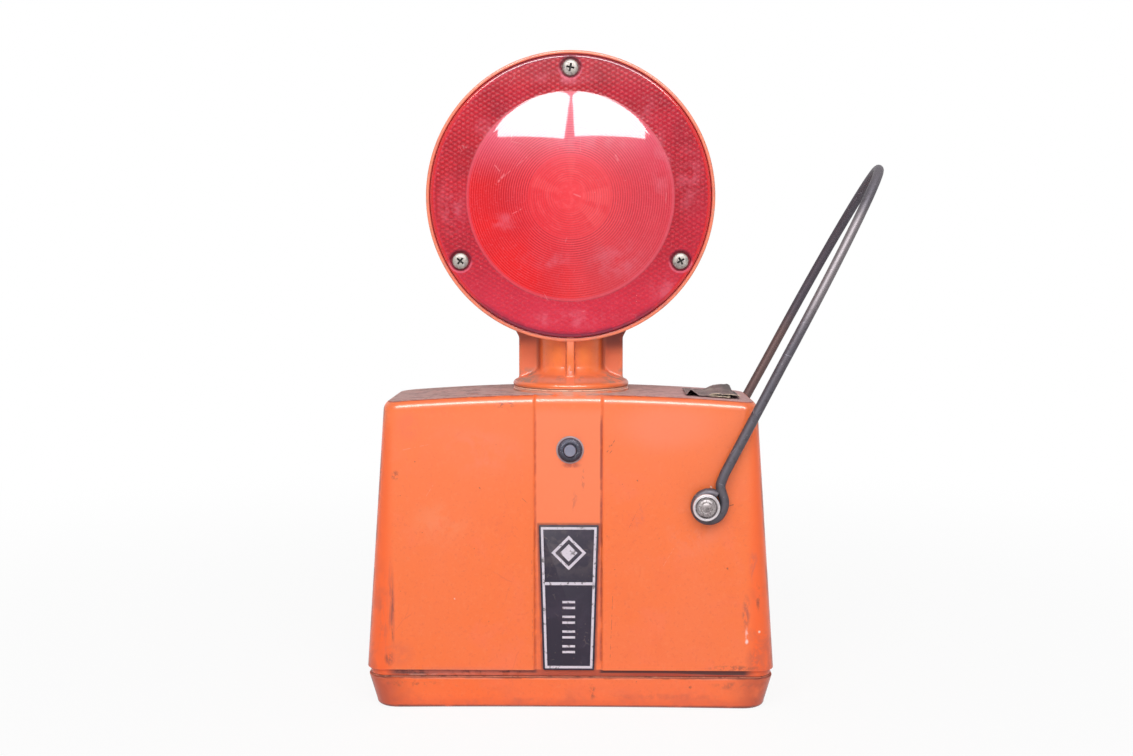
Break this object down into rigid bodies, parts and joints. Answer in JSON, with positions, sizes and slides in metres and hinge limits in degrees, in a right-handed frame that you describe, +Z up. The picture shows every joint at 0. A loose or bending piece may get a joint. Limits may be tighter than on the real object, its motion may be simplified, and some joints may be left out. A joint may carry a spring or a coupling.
{
  "type": "portable warning light",
  "caption": "Hand-carried battery warning light: tapered orange case with a base tray, a swivelling round lamp head with a red lens, a push button and a wire bail.",
  "frame": {"origin": "middle of the base, on the surface that it stands on", "axes": "+Z up the neck's axis, -Y out of the lens, +X to the side that the bail leans to"},
  "size_m": [0.3384, 0.1156, 0.425],
  "materials": {
    "case_orange": "worn satin",
    "head_orange": "worn satin",
    "lens_red": "polished, translucent",
    "rubber": "dull",
    "black_plastic": "satin",
    "plate_black": "satin",
    "grey_plastic": "satin",
    "bail_steel": "tarnished",
    "zinc": "plated",
    "brass": "satin",
    "mirror": "polished",
    "bulb_glass": "clear",
    "board": "matt",
    "battery": "satin",
    "tape": "dirty",
    "cable": "satin"
  },
  "bodies": {
    "case": {"case_shell": "case_orange", "base_tray": "case_orange", "tray_seal": "rubber", "tray_screw_left_front": "zinc", "tray_screw_left_rear": "zinc", "tray_screw_right_front": "zinc", "tray_screw_right_rear": "zinc", "battery_left": "battery", "battery_right": "battery", "battery_spring_left_centre": "zinc", "battery_spring_left_corner": "zinc", "battery_spring_right_centre": "zinc", "battery_spring_right_corner": "zinc", "contact_strip_link": "brass", "contact_strip_left": "brass", "contact_strip_right": "brass", "circuit_board": "board", "board_screw_left_front": "zinc", "board_screw_left_rear": "zinc", "board_screw_right_front": "zinc", "board_screw_right_rear": "zinc", "capacitor": "battery", "power_transistor": "zinc", "resistor": "board", "lamp_receptacle": "black_plastic", "button_ring": "rubber", "switch_body": "black_plastic", "switch_nut": "zinc", "button_spring": "zinc", "switch_lead_left": "cable", "switch_lead_right": "cable", "front_plate": "plate_black", "tape_strip": "tape", "pivot_bolt_front": "zinc", "pivot_cup_washer_front": "zinc", "pivot_inner_washer_front": "bail_steel", "pivot_backing_washer_front": "zinc", "pivot_nut_front": "zinc", "pivot_bolt_rear": "zinc", "pivot_cup_washer_rear": "zinc", "pivot_inner_washer_rear": "bail_steel", "pivot_backing_washer_rear": "zinc", "pivot_nut_rear": "zinc"},
    "head": {"head_housing": "head_orange", "swivel_seal": "rubber", "spigot_nut": "zinc", "lamp_cable": "cable", "lamp_plug": "black_plastic", "lens": "lens_red", "lens_seal": "rubber", "lens_screw_top": "zinc", "lens_screw_left": "zinc", "lens_screw_right": "zinc", "reflector": "mirror", "lamp_socket": "black_plastic", "bulb_base": "brass", "bulb_glass": "bulb_glass"},
    "bail": {"bail_wire": "bail_steel"},
    "button": {"button_plunger": "grey_plastic"}
  },
  "joints": [
    {"name": "head_swivel", "type": "hinge", "parent": "case", "child": "head", "pos_m": [0, 0, 0.21], "axis": [0, 0, 1], "range_deg": [-90, 90]},
    {"name": "bail_swing", "type": "hinge", "parent": "case", "child": "bail", "pos_m": [0.0866, 0, 0.1358], "axis": [0, 1, 0], "range_deg": [-22, 90]},
    {"name": "button_press", "type": "slide", "parent": "case", "child": "button", "axis": [0, 1, 0], "range_m": [0, 0.0025], "stiffness_N_per_m": 400, "springref_m": -0.004, "deforming": ["button_spring"]}
  ]
}
